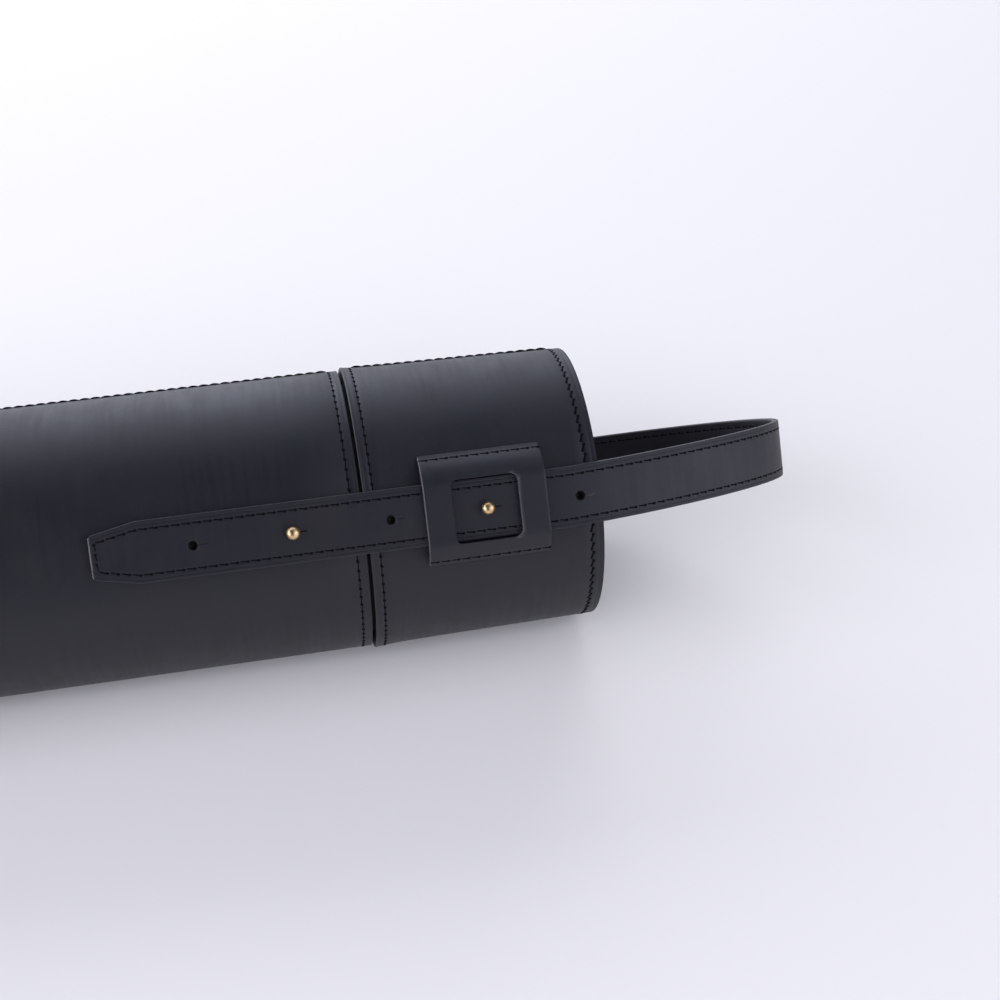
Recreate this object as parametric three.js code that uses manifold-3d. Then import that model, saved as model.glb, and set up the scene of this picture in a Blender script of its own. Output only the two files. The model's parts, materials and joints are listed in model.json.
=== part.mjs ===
// Leather drawing tube: a stitched body and a slip-on cap, joined by one long strap that buttons onto
// brass studs on both sides and loops over the cap end as a carrying handle.
// Units are millimetres and +Z is up. The tube lies on its side along X with the handle towards +X.
import * as THREE from 'three';
import { mergeVertices } from 'three/addons/utils/BufferGeometryUtils.js';
import Module from 'manifold-3d';

const wasm = await Module();
wasm.setup();

// Driving dimensions. "Across" sizes of the tubes are from the axis to the middle of a facet.
const tubeRadius = 61;
const capEndRadius = 59.6;
const bodyLength = 542;
const capLength = 98;
const leather = 3;
const coreWall = 2;
const linerWall = 1.2;
const boardThickness = 2;
const jointGap = 1;
const fit = 0.3;
const facets = 32;
const overshoot = 5;
const neckInside = 70;
const neckOutside = 42;
const endFlange = 12;
const endFlangeWall = 2.5;
const endRecess = 1;

const strapWidth = 25;
const strapThickness = 3;
const strapBottom = 61.8;
const strapTipWidth = 17.5;
const strapTip = -109.3;
const taperStart = -90.5;
const strapElevation = 35.46;
const holeRadius = 1.9;
const studHoleRadius = 3.2;
const studSlotRun = 4.2;
const holePitch = 39.7;
const capStudX = 50.1;
const bodyStudX = capStudX - 2 * holePitch;
const spareHoleX = 89.1;
const capHingeX = 20.3;
const tailHingeX = 5.5;
const hingeGap = 0.6;

const loopStart = 84;
const loopReach = 193.7;
const loopLean = 4;
const loopRise = 4.3;
const loopSideEase = 0.4;
const loopTipEase = 0.5;

// The keeper bridges the strap as far as its shoulder and lies on the cap from its foot to its sewn edge.
const keeper = {
  left: 24.3, right: 75.2, halfHeight: 23.8, thickness: 2.5, windowLeft: 36, windowRight: 63.4,
  windowHalf: 13.4, shoulder: 13.2, foot: 17.2, clearance: 0.7, flare: 1,
};

const strapTop = strapBottom + strapThickness;
const strapMiddle = strapBottom + strapThickness / 2;
const bodyInner = tubeRadius - leather;
const coreOuter = bodyInner - fit;
const coreInner = coreOuter - coreWall;
const neckOuter = coreInner - fit;
const neckInner = neckOuter - coreWall;
const linerInner = neckOuter + fit;
const linerOuter = linerInner + linerWall;
const capInner = linerOuter + fit;

// The whole assembly is turned about X so that local +Z points out through the front strap.
const frontTurn = THREE.MathUtils.degToRad(90 - strapElevation);
const backTurn = frontTurn + Math.PI;

const materials = {
  leather: new THREE.MeshStandardMaterial({ color: 0x17181c, roughness: 0.5, metalness: 0 }),
  lining: new THREE.MeshStandardMaterial({ color: 0x23211f, roughness: 0.8, metalness: 0 }),
  board: new THREE.MeshStandardMaterial({ color: 0x5b4a38, roughness: 0.9, metalness: 0 }),
  brass: new THREE.MeshStandardMaterial({ color: 0xb08d45, roughness: 0.25, metalness: 1 }),
};

const weldDistance = 1e-4;

// Solids: three.js geometry in, three.js geometry out, joined and cut in between.
function toSolid(geometry) {
  const bare = geometry.index ? geometry.clone() : geometry;
  bare.deleteAttribute('normal');
  bare.deleteAttribute('uv');
  const merged = mergeVertices(bare, weldDistance);
  const vertProperties = new Float32Array(merged.attributes.position.array);
  const triVerts = new Uint32Array(merged.index.array);
  return new wasm.Manifold(new wasm.Mesh({ numProp: 3, vertProperties, triVerts }));
}

function toGeometry(solid) {
  const mesh = solid.getMesh();
  const geometry = new THREE.BufferGeometry();
  geometry.setAttribute('position', new THREE.BufferAttribute(mesh.vertProperties, 3));
  geometry.setIndex(new THREE.BufferAttribute(mesh.triVerts, 1));
  geometry.computeVertexNormals();
  return geometry;
}

function cut(geometry, cutters) {
  return toGeometry(cutters.reduce((solid, cutter) => solid.subtract(toSolid(cutter)), toSolid(geometry)));
}

// A ring or disc turned about X from [x, distance from the axis] points, closed on itself or on the axis.
function turned(profile, sides = facets, scale = 1 / Math.cos(Math.PI / sides)) {
  const points = profile.map(([x, across]) => new THREE.Vector2(across * scale, x));
  const geometry = new THREE.LatheGeometry(points, sides, Math.PI / sides);
  return geometry.rotateZ(-Math.PI / 2);
}

function ring(x0, x1, inner, outerStart, outerEnd = outerStart) {
  return turned([[x0, inner], [x0, outerStart], [x1, outerEnd], [x1, inner], [x0, inner]]);
}

function disc(x0, x1, radius) {
  return turned([[x0, 0], [x0, radius], [x1, radius], [x1, 0]]);
}

// A shallow leather pan whose flat face is at x and whose flange runs back by depth towards the inside.
function endPan(x, inwards, outer) {
  const face = x + inwards * leather;
  const lip = x + inwards * endFlange;
  const flangeInner = outer - endFlangeWall;
  const outline = [[x, 0], [x, outer], [lip, outer], [lip, flangeInner], [face, flangeInner], [face, 0]];
  return turned(inwards > 0 ? outline : outline.reverse());
}

// Round pieces that stand on the tube: profiles are [radius, height from the axis] along local +Z.
function standing(profile, x, sides = 16) {
  const points = profile.map(([radius, height]) => new THREE.Vector2(radius, height));
  return new THREE.LatheGeometry(points, sides).rotateX(Math.PI / 2).translate(x, 0, 0);
}

function peg(radius, low, high, x, sides = 16) {
  return standing([[0, low], [radius, low], [radius, high], [0, high]], x, sides);
}

function onBothSides(makeCutters) {
  const front = makeCutters().map((geometry) => geometry.rotateX(frontTurn));
  const back = makeCutters().map((geometry) => geometry.rotateX(backTurn));
  return [...front, ...back];
}

// Studs: a ball head on a neck, a flange let into the leather, and a hollow shank that takes the screw.
const stud = {
  ballRadius: 2.8, ballHeight: strapTop + 2, neckRadius: 1.6, flangeRadius: 3.5, flangeThickness: 0.9,
  flangeInset: 0.1, shankRadius: 2, boreRadius: 1.35, boreEnd: 0.6, washerRadius: 4.5, washerThickness: 0.8,
  washerGap: 0.4, screwRadius: 1, screwHeadRadius: 3.2, screwHeadThickness: 1.5, screwEnd: 2,
  holeRadius: 2.3, recessRadius: 3.8, recessDepth: 1.3,
};

function studHoles(x, surface, inner) {
  const through = peg(stud.holeRadius, inner - overshoot, surface + overshoot, x);
  const recess = peg(stud.recessRadius, surface - stud.recessDepth, surface + overshoot, x);
  return [through, recess];
}

function studBody(x, surface, inner) {
  const flangeTop = surface - stud.flangeInset;
  const flangeBottom = flangeTop - stud.flangeThickness;
  const boreTop = flangeBottom - stud.boreEnd;
  const shankEnd = inner + fit;
  const profile = [
    [0, boreTop], [stud.boreRadius, boreTop], [stud.boreRadius, shankEnd],
    [stud.shankRadius, shankEnd], [stud.shankRadius, flangeBottom], [stud.flangeRadius, flangeBottom],
    [stud.flangeRadius, flangeTop], [stud.neckRadius, flangeTop],
  ];
  const neckAngle = Math.asin(stud.neckRadius / stud.ballRadius);
  const steps = 8;
  for (let step = 0; step <= steps; step += 1) {
    const angle = neckAngle + ((Math.PI - neckAngle) * step) / steps;
    const radius = step === steps ? 0 : stud.ballRadius * Math.sin(angle);
    profile.push([radius, stud.ballHeight - stud.ballRadius * Math.cos(angle)]);
  }
  return standing(profile, x);
}

function studWasher(x, inner) {
  const top = inner - stud.washerGap;
  const bottom = top - stud.washerThickness;
  const { boreRadius, washerRadius } = stud;
  return standing([
    [boreRadius, bottom], [washerRadius, bottom], [washerRadius, top], [boreRadius, top], [boreRadius, bottom],
  ], x);
}

function studScrew(x, surface, inner) {
  const top = inner - stud.washerGap - stud.washerThickness - fit;
  const bottom = top - stud.screwHeadThickness;
  const end = surface - stud.screwEnd;
  return standing([
    [0, bottom], [stud.screwHeadRadius, bottom], [stud.screwHeadRadius, top],
    [stud.screwRadius, top], [stud.screwRadius, end], [0, end],
  ], x);
}

// Strap: a flat side profile in the plane of the axis and the studs, given its width across local Y.
function sideExtrusion(shape) {
  const options = { depth: strapWidth, bevelEnabled: false, curveSegments: 1 };
  const geometry = new THREE.ExtrudeGeometry(shape, options);
  return geometry.translate(0, 0, -strapWidth / 2).rotateX(Math.PI / 2);
}

function flatStrap(x0, x1, tapered = false) {
  const half = strapWidth / 2;
  const points = [[x1, -half], [x1, half]];
  if (tapered) {
    points.push([taperStart, half], [x0, strapTipWidth / 2], [x0, -strapTipWidth / 2], [taperStart, -half]);
  } else {
    points.push([x0, half], [x0, -half]);
  }
  const shape = new THREE.Shape(points.map(([x, y]) => new THREE.Vector2(x, y)));
  const options = { depth: strapThickness, bevelEnabled: false };
  return new THREE.ExtrudeGeometry(shape, options).translate(0, 0, strapBottom);
}

function strapHole(x, radius = holeRadius) {
  const sides = 20;
  return peg(radius, strapBottom - overshoot, strapTop + overshoot, x, sides);
}

// The hole over a body stud runs on towards the tip, so that the ball stays clear while the tail lifts off it.
function studSlot(x) {
  const ends = [strapHole(x, studHoleRadius), strapHole(x - studSlotRun, studHoleRadius)];
  return toGeometry(wasm.Manifold.hull(ends.map(toSolid)));
}

// Centre line of the carrying loop: straight out of the keepers, then round a blunt point.
function loopCurve() {
  const path = new THREE.CurvePath();
  const sideEase = loopSideEase * (loopReach - loopStart);
  const tipEase = loopTipEase * strapMiddle;
  const startX = capHingeX + hingeGap / 2;
  const at = (x, y) => new THREE.Vector2(x, y);
  path.add(new THREE.LineCurve(at(startX, strapMiddle), at(loopStart, strapMiddle)));
  path.add(new THREE.CubicBezierCurve(
    at(loopStart, strapMiddle), at(loopStart + sideEase, strapMiddle),
    at(loopReach, loopLean + tipEase), at(loopReach, loopLean)));
  path.add(new THREE.CubicBezierCurve(
    at(loopReach, loopLean), at(loopReach, loopLean - tipEase),
    at(loopStart + sideEase, -strapMiddle), at(loopStart, -strapMiddle)));
  path.add(new THREE.LineCurve(at(loopStart, -strapMiddle), at(startX, -strapMiddle)));
  return path;
}

function handleGeometry() {
  const outer = [];
  const inner = [];
  const bendSteps = 18;
  const closestPoints = 0.01;
  for (const curve of loopCurve().curves) {
    const steps = curve.isLineCurve ? 1 : bendSteps;
    for (let step = 0; step <= steps; step += 1) {
      const point = curve.getPoint(step / steps);
      const tangent = curve.getTangent(step / steps);
      const outwards = new THREE.Vector2(-tangent.y, tangent.x).multiplyScalar(strapThickness / 2);
      outer.push(point.clone().add(outwards));
      inner.push(point.clone().sub(outwards));
    }
  }
  const outline = [...outer, ...inner.reverse()].filter(
    (point, index, all) => index === 0 || point.distanceTo(all[index - 1]) > closestPoints);
  const geometry = sideExtrusion(new THREE.Shape(outline));
  const position = geometry.attributes.position;
  for (let index = 0; index < position.count; index += 1) {
    const rise = Math.max(0, (position.getX(index) - loopStart) / (loopReach - loopStart));
    position.setY(index, position.getY(index) + loopRise * rise);
  }
  const holes = [capStudX, spareHoleX].flatMap((x) => [strapHole(x), strapHole(x).rotateX(Math.PI)]);
  return cut(geometry, holes);
}

// Keeper: a square leather frame sewn to the cap above and below the strap, with a square window.
function keeperGeometry() {
  const bridge = strapTop + fit;
  const capCorner = tubeRadius / Math.cos(Math.PI / facets);
  const overCap = (across) => Math.sqrt(capCorner ** 2 - across ** 2) + keeper.clearance;
  const inside = [
    [keeper.shoulder, bridge], [keeper.foot, overCap(keeper.foot)],
    [keeper.halfHeight, overCap(keeper.halfHeight)],
  ];
  const outside = inside.map(([across, height]) => [across + keeper.flare, height + keeper.thickness]);
  const mirror = ([across, height]) => [-across, height];
  const outline = [
    ...inside.slice().reverse().map(mirror), ...inside, ...outside.slice().reverse(), ...outside.map(mirror),
  ];
  const shape = new THREE.Shape(outline.map(([across, height]) => new THREE.Vector2(across, height)));
  const length = keeper.right - keeper.left;
  const band = new THREE.ExtrudeGeometry(shape, { depth: length, bevelEnabled: false, curveSegments: 1 });
  band.applyMatrix4(new THREE.Matrix4().makeBasis(
    new THREE.Vector3(0, 1, 0), new THREE.Vector3(0, 0, 1), new THREE.Vector3(1, 0, 0)));
  band.translate(keeper.left, 0, 0);
  const windowLength = keeper.windowRight - keeper.windowLeft;
  const windowDepth = 2 * (keeper.thickness + overshoot);
  const window = new THREE.BoxGeometry(windowLength, 2 * keeper.windowHalf, windowDepth);
  window.translate(keeper.windowLeft + windowLength / 2, 0, bridge);
  return cut(band, [window]);
}

// Assembly
const assembly = new THREE.Group();
const loopTip = loopReach + strapThickness / 2;
assembly.position.set((bodyLength - loopTip) / 2, 0, tubeRadius);

const frontSide = new THREE.Group();
frontSide.rotation.x = frontTurn;
const backSide = new THREE.Group();
backSide.rotation.x = backTurn;
assembly.add(frontSide, backSide);

function add(name, geometry, material, parent = assembly) {
  const mesh = new THREE.Mesh(geometry, material);
  mesh.name = name;
  parent.add(mesh);
}

const capSurface = (x) => tubeRadius + ((capEndRadius - tubeRadius) * x) / capLength;
const bodyStud = { x: bodyStudX, surface: tubeRadius, inner: neckInner };
const capStud = { x: capStudX, surface: capSurface(capStudX), inner: linerInner };
const holesFor = ({ x, surface, inner }) => onBothSides(() => studHoles(x, surface, inner));

const mouth = jointGap / 2;
const baseFace = -bodyLength + endRecess;
const capFace = capLength - endRecess;

add('body_shell', cut(ring(-bodyLength, -mouth, bodyInner, tubeRadius), holesFor(bodyStud)),
  materials.leather);
add('body_core', cut(ring(baseFace + endFlange + fit, -mouth, coreInner, coreOuter), holesFor(bodyStud)),
  materials.board);
add('neck_sleeve', cut(ring(-neckInside, neckOutside, neckInner, neckOuter), holesFor(bodyStud)),
  materials.lining);
add('base_disc', endPan(baseFace, 1, coreOuter), materials.leather);
const baseBoardFace = baseFace + leather + fit;
const baseBoardRadius = coreOuter - endFlangeWall - fit;
add('base_board', disc(baseBoardFace, baseBoardFace + boardThickness, baseBoardRadius), materials.board);

add('cap_shell', cut(ring(mouth, capLength, capInner, tubeRadius, capEndRadius), holesFor(capStud)),
  materials.leather);
add('cap_liner', cut(ring(mouth, capFace - endFlange - fit, linerInner, linerOuter), holesFor(capStud)),
  materials.lining);
add('cap_disc', endPan(capFace, -1, linerOuter), materials.leather);
const capBoardFace = capFace - leather - fit;
const capBoardRadius = linerOuter - endFlangeWall - fit;
add('cap_board', disc(capBoardFace - boardThickness, capBoardFace, capBoardRadius), materials.board);

add('strap_handle', handleGeometry(), materials.leather, frontSide);
for (const [side, parent] of [['front', frontSide], ['back', backSide]]) {
  const bendStart = capHingeX - hingeGap / 2;
  const bendEnd = tailHingeX + hingeGap / 2;
  const bend = cut(flatStrap(bendEnd, bendStart), [strapHole(capStudX - holePitch)]);
  const tailHoles = [studSlot(bodyStudX), strapHole(bodyStudX - holePitch)];
  add(`${side}_strap_bend`, bend, materials.leather, parent);
  add(`${side}_strap_tail`, cut(flatStrap(strapTip, tailHingeX - hingeGap / 2, true), tailHoles),
    materials.leather, parent);
  add(`${side}_keeper`, keeperGeometry(), materials.leather, parent);
  for (const [place, { x, surface, inner }] of [['body', bodyStud], ['cap', capStud]]) {
    add(`${side}_${place}_stud`, studBody(x, surface, inner), materials.brass, parent);
    add(`${side}_${place}_stud_washer`, studWasher(x, inner), materials.brass, parent);
    add(`${side}_${place}_stud_screw`, studScrew(x, surface, inner), materials.brass, parent);
  }
}

export default assembly;
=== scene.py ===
"""Looks of a black leather drawing tube: shells, seams, strap, keepers, studs and their stitching.

Lengths are in millimetres in the tube's own directions until place() turns them into metres in the row
frame: x runs along the tube from the joint towards the handle, "across" along the strap's width, and
"out" from the tube's axis through the front strap. The back strap is the front one turned half a turn.
"""
import json
import math

import bmesh
import bpy
from mathutils import Matrix, Vector


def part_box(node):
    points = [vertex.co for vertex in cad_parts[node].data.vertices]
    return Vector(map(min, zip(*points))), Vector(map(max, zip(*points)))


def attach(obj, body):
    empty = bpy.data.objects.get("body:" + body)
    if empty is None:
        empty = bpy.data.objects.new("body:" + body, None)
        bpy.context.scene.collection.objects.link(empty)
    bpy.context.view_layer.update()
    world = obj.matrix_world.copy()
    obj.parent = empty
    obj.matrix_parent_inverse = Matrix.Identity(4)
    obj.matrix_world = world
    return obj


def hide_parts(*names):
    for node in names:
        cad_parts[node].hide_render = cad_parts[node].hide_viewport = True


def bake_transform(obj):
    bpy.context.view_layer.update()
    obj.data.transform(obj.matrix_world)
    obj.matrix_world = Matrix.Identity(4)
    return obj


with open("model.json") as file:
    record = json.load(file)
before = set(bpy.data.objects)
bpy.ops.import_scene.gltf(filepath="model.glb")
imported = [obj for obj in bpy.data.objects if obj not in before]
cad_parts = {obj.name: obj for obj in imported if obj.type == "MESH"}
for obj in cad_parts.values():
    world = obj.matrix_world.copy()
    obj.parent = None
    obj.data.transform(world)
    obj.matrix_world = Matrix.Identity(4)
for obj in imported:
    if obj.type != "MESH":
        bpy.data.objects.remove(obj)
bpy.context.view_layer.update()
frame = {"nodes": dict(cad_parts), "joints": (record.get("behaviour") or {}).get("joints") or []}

MM = 0.001

# Sizes that come from the frame, in millimetres, apart from the boxes, JOINT_X and AXIS_Z, in metres
body_low, body_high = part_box("body_shell")
cap_low, cap_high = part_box("cap_shell")
joints = {joint["name"]: joint for joint in frame["joints"]}
JOINT_X = (body_high.x + cap_low.x) / 2
AXIS_Z = (body_low.z + body_high.z) / 2
RADIUS = (body_high.z - body_low.z) / 2 / MM
GAP = (cap_low.x - body_high.x) / 2 / MM + 0.15
BODY_LENGTH = (JOINT_X - body_low.x) / MM
ROLLED_RIM = 1.0
CAP_LENGTH = (cap_high.x - JOINT_X) / MM + ROLLED_RIM
ACROSS = Vector(joints["front_strap_peel"]["axis"]).normalized()
OUT = ACROSS.cross(Vector((-1, 0, 0)))
ALONG = Vector((1, 0, 0))

# Leather work
LEATHER = 3.0
CAP_MOUTH_RADIUS = RADIUS + 0.35
CAP_FLARE = 1.0
CAP_END_RADIUS = RADIUS - 1.0
CREASE = 2.1
RING_STITCHES = 4.7
RIM_STITCHES = 5.2
PITCH = 4.3
SEAM_PITCH = 4.6
SEAM_ANGLE = math.pi / 2
FIT = 0.3
WALL = 2.0
LINER_WALL = 1.2
CORE_OUTER = RADIUS - LEATHER - FIT
NECK_OUTER = CORE_OUTER - WALL - FIT
NECK_INNER = NECK_OUTER - WALL
LINER_INNER = NECK_OUTER + FIT
LINER_OUTER = LINER_INNER + LINER_WALL
NECK_IN = 70.0
NECK_OUT = 42.0
FLANGE = 12.0
END_RECESS = 1.0
MOUTH_STEP = 0.2

# Strap
STRAP_BOTTOM = 61.8
STRAP_THICKNESS = 3.0
STRAP_TOP = STRAP_BOTTOM + STRAP_THICKNESS
STRAP_MIDDLE = STRAP_BOTTOM + STRAP_THICKNESS / 2
HALF_WIDTH = 12.5
TIP_X = -109.3
TAPER_X = -90.5
TIP_HALF_WIDTH = 8.7
HOLE_RADIUS = 2.0
SLIT = 3.8
CAP_STUD_X = 50.1
HOLE_PITCH = 39.7
HOLES = [CAP_STUD_X + HOLE_PITCH * step for step in (-3, -2, -1, 0)] + [89.1]
STUD_PLACES = (CAP_STUD_X - 2 * HOLE_PITCH, CAP_STUD_X)
STRAP_STITCHES = 3.4
TIP_STITCHES = 2.6
TIP_PITCH = 3.9
THREAD_SINK = 0.16
LOOP_START = 84.0
LOOP_REACH = 193.7
LOOP_LEAN = 4.0
LOOP_RISE = 4.3
# Where the strap starts to bend at the keeper, passes from the bend to the tail, and is straight again
BEND_SPLIT = 7.5
HANDLE_END = 27.0

KEEPER = {"left": 24.3, "right": 75.2, "upper": 23.6, "lower": 21.8, "window_left": 36.0,
          "window_right": 63.4, "window_half": 13.05, "corner": 3.0, "thickness": 2.5, "skived": 1.3,
          "stitches": 1.8}
STUD = {"ball": 2.8, "neck": 1.6, "flange": 3.5, "height": STRAP_TOP + 2.0}

SIDES = {"front": 1, "back": -1}


def place(x, across, out, side=1):
    """The point at x, across and out, in metres in the row frame."""
    return Vector((JOINT_X, 0, AXIS_Z)) + MM * (x * ALONG + side * (across * ACROSS + out * OUT))


def on_tube(x, angle, radius):
    """The point at an angle round the tube from the front strap, turning towards ACROSS."""
    return place(x, radius * math.sin(angle), radius * math.cos(angle))


def tube_place(point):
    """x, across and out in millimetres of a point in the row frame."""
    offset = (Vector(point) - Vector((JOINT_X, 0, AXIS_Z))) / MM
    return offset.x, offset.dot(ACROSS), offset.dot(OUT)


def smoothstep(value, low, high):
    t = min(1.0, max(0.0, (value - low) / (high - low)))
    return t * t * (3 - 2 * t)


# Materials
def new_material(name):
    material = bpy.data.materials.new(name)
    material.use_nodes = True
    nodes = material.node_tree.nodes
    return material, nodes, material.node_tree.links, nodes["Principled BSDF"]


def add_node(nodes, kind, **inputs):
    node = nodes.new(kind)
    for key, value in inputs.items():
        node.inputs[key.replace("_", " ")].default_value = value
    return node


def colour_ramp(nodes, low, high, start=0.3, end=0.7):
    ramp = nodes.new("ShaderNodeValToRGB")
    ramp.color_ramp.elements[0].position = start
    ramp.color_ramp.elements[0].color = (*low, 1)
    ramp.color_ramp.elements[1].position = end
    ramp.color_ramp.elements[1].color = (*high, 1)
    return ramp


def leather_material(name, cool, warm, edge_colour, roughness, grain):
    """Dyed leather: pebbled grain, streaks round the tube and a slow drift of tone.

    The "edge" attribute is 1 where an edge is burnished pale or given a painted highlight, and -1 deep
    inside a cut or joint, where it paints shade: the colour is darkened towards near black.
    """
    material, nodes, links, shader = new_material(name)
    place_node = nodes.new("ShaderNodeTexCoord")
    stretch = nodes.new("ShaderNodeMapping")
    stretch.inputs["Scale"].default_value = (1.0, 0.07, 0.07)
    links.new(place_node.outputs["Object"], stretch.inputs["Vector"])
    drift = add_node(nodes, "ShaderNodeTexNoise", Scale=11.0, Detail=3.0, Roughness=0.5)
    mottle = add_node(nodes, "ShaderNodeTexNoise", Scale=70.0, Detail=5.0, Roughness=0.6)
    streak = add_node(nodes, "ShaderNodeTexNoise", Scale=420.0, Detail=2.0, Roughness=0.5)
    fine = add_node(nodes, "ShaderNodeTexNoise", Scale=900.0, Detail=3.0, Roughness=0.55)
    pebble = add_node(nodes, "ShaderNodeTexVoronoi", Scale=1300.0)
    pebble.feature = "SMOOTH_F1"
    for texture in (drift, mottle, fine, pebble):
        links.new(place_node.outputs["Object"], texture.inputs["Vector"])
    links.new(stretch.outputs["Vector"], streak.inputs["Vector"])

    def added(a, factor, b):
        node = nodes.new("ShaderNodeMath")
        node.operation = "MULTIPLY_ADD"
        node.inputs[1].default_value = factor
        links.new(a, node.inputs[0])
        if b is None:
            node.inputs[2].default_value = 0.0
        else:
            links.new(b, node.inputs[2])
        return node.outputs["Value"]

    slow = added(mottle.outputs["Fac"], 0.3, added(drift.outputs["Fac"], 0.4, None))
    blotch = added(streak.outputs["Fac"], 0.3, slow)
    tone = colour_ramp(nodes, cool, warm, 0.4, 0.6)
    links.new(blotch, tone.inputs["Fac"])
    # Above 0 the edge attribute mixes in the pale edge_colour, for burnish and painted highlights; below
    # 0 it paints shade, darkening the colour towards near black.
    edge = nodes.new("ShaderNodeAttribute")
    edge.attribute_name = "edge"
    mix = nodes.new("ShaderNodeMix")
    mix.data_type = "RGBA"
    mix.inputs["B"].default_value = (*edge_colour, 1)
    links.new(edge.outputs["Fac"], mix.inputs["Factor"])
    links.new(tone.outputs["Color"], mix.inputs["A"])
    shade = nodes.new("ShaderNodeMix")
    shade.data_type = "RGBA"
    shade.inputs["A"].default_value = (0.0006, 0.0006, 0.0008, 1)
    depth = nodes.new("ShaderNodeMapRange")
    depth.inputs["From Min"].default_value = -1.0
    depth.inputs["From Max"].default_value = 0.0
    links.new(edge.outputs["Fac"], depth.inputs["Value"])
    links.new(depth.outputs["Result"], shade.inputs["Factor"])
    links.new(mix.outputs["Result"], shade.inputs["B"])
    links.new(shade.outputs["Result"], shader.inputs["Base Color"])

    gloss = nodes.new("ShaderNodeMapRange")
    gloss.inputs["From Min"].default_value = 0.4
    gloss.inputs["From Max"].default_value = 0.6
    gloss.inputs["To Min"].default_value = roughness - 0.04
    gloss.inputs["To Max"].default_value = roughness + 0.04
    links.new(blotch, gloss.inputs["Value"])
    polish = nodes.new("ShaderNodeMapRange")
    polish.inputs["From Min"].default_value = -1.0
    polish.inputs["To Min"].default_value = 2.0
    polish.inputs["To Max"].default_value = 0.6
    links.new(edge.outputs["Fac"], polish.inputs["Value"])
    worn = nodes.new("ShaderNodeMath")
    worn.operation = "MULTIPLY"
    links.new(gloss.outputs["Result"], worn.inputs[0])
    links.new(polish.outputs["Result"], worn.inputs[1])
    links.new(worn.outputs["Value"], shader.inputs["Roughness"])

    bump = nodes.new("ShaderNodeBump")
    bump.inputs["Strength"].default_value = grain
    bump.inputs["Distance"].default_value = 0.00012
    pores = added(fine.outputs["Fac"], 0.5, pebble.outputs["Distance"])
    height = added(streak.outputs["Fac"], 0.5, pores)
    links.new(height, bump.inputs["Height"])
    links.new(bump.outputs["Normal"], shader.inputs["Normal"])
    shader.inputs["Specular IOR Level"].default_value = 0.5
    return material


def thread_material():
    """Waxed black linen thread with the fine ridges of its twist."""
    material, nodes, links, shader = new_material("waxed_thread")
    place_node = nodes.new("ShaderNodeTexCoord")
    fibre = add_node(nodes, "ShaderNodeTexNoise", Scale=2500.0, Detail=3.0)
    links.new(place_node.outputs["Object"], fibre.inputs["Vector"])
    tone = colour_ramp(nodes, (0.0015, 0.0015, 0.002), (0.005, 0.005, 0.006))
    links.new(fibre.outputs["Fac"], tone.inputs["Fac"])
    links.new(tone.outputs["Color"], shader.inputs["Base Color"])
    bump = nodes.new("ShaderNodeBump")
    bump.inputs["Strength"].default_value = 0.5
    bump.inputs["Distance"].default_value = 0.0001
    links.new(fibre.outputs["Fac"], bump.inputs["Height"])
    links.new(bump.outputs["Normal"], shader.inputs["Normal"])
    shader.inputs["Roughness"].default_value = 0.7
    shader.inputs["Specular IOR Level"].default_value = 0.06
    return material


def brass_material():
    """Polished brass with slight tarnish."""
    material, nodes, links, shader = new_material("polished_brass")
    place_node = nodes.new("ShaderNodeTexCoord")
    tarnish = add_node(nodes, "ShaderNodeTexNoise", Scale=260.0, Detail=3.0)
    links.new(place_node.outputs["Object"], tarnish.inputs["Vector"])
    tone = colour_ramp(nodes, (0.66, 0.44, 0.22), (0.76, 0.54, 0.30))
    links.new(tarnish.outputs["Fac"], tone.inputs["Fac"])
    links.new(tone.outputs["Color"], shader.inputs["Base Color"])
    gloss = nodes.new("ShaderNodeMapRange")
    gloss.inputs["To Min"].default_value = 0.34
    gloss.inputs["To Max"].default_value = 0.38
    links.new(tarnish.outputs["Fac"], gloss.inputs["Value"])
    links.new(gloss.outputs["Result"], shader.inputs["Roughness"])
    shader.inputs["Metallic"].default_value = 1.0
    return material


def board_material():
    """Grey-brown fibreboard with flecks."""
    material, nodes, links, shader = new_material("fibreboard")
    place_node = nodes.new("ShaderNodeTexCoord")
    fleck = add_node(nodes, "ShaderNodeTexNoise", Scale=420.0, Detail=6.0, Roughness=0.7)
    links.new(place_node.outputs["Object"], fleck.inputs["Vector"])
    tone = colour_ramp(nodes, (0.13, 0.09, 0.055), (0.26, 0.19, 0.12))
    links.new(fleck.outputs["Fac"], tone.inputs["Fac"])
    links.new(tone.outputs["Color"], shader.inputs["Base Color"])
    bump = nodes.new("ShaderNodeBump")
    bump.inputs["Strength"].default_value = 0.4
    bump.inputs["Distance"].default_value = 0.0002
    links.new(fleck.outputs["Fac"], bump.inputs["Height"])
    links.new(bump.outputs["Normal"], shader.inputs["Normal"])
    shader.inputs["Roughness"].default_value = 0.85
    return material


# The leathers' third colour is mixed in at burnished edges and at painted highlights.
MATERIALS = {
    "leather": leather_material("bridle_leather", (0.0036, 0.0044, 0.0084), (0.0064, 0.0060, 0.0088),
                                (0.085, 0.083, 0.088), 0.42, 0.25),
    "lining": leather_material("lining_leather", (0.016, 0.015, 0.015), (0.026, 0.024, 0.023),
                               (0.04, 0.038, 0.036), 0.72, 0.6),
    "thread": thread_material(),
    "brass": brass_material(),
    "board": board_material(),
}


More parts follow.
